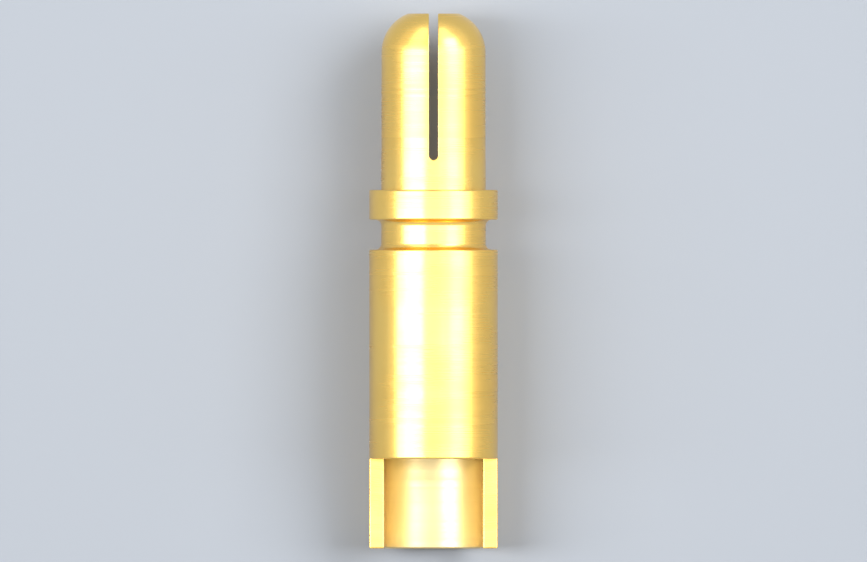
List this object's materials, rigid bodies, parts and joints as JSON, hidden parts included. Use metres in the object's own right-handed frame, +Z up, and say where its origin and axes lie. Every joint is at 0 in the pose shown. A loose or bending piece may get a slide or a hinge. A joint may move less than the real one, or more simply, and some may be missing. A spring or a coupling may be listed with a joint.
{
  "type": "bullet connector contact",
  "caption": "Male bullet contact for a battery lead: a slotted spring pin with a rounded nose, a flange and snap groove, and a round barrel whose solder cup is half open at its end.",
  "frame": {"origin": "on the contact's axis, in the plane of the shoulder that the pin stands on", "axes": "+Y along the axis towards the pin's tip, +Z up, out of the open side of the solder cup; the contact lies on its side"},
  "size_m": [0.0044, 0.0179, 0.0044],
  "materials": {
    "gold_plating": "bright gold plating over brass, with fine turning marks on the round faces"
  },
  "bodies": {
    "root": {"bullet_contact": "gold_plating"}
  },
  "joints": []
}
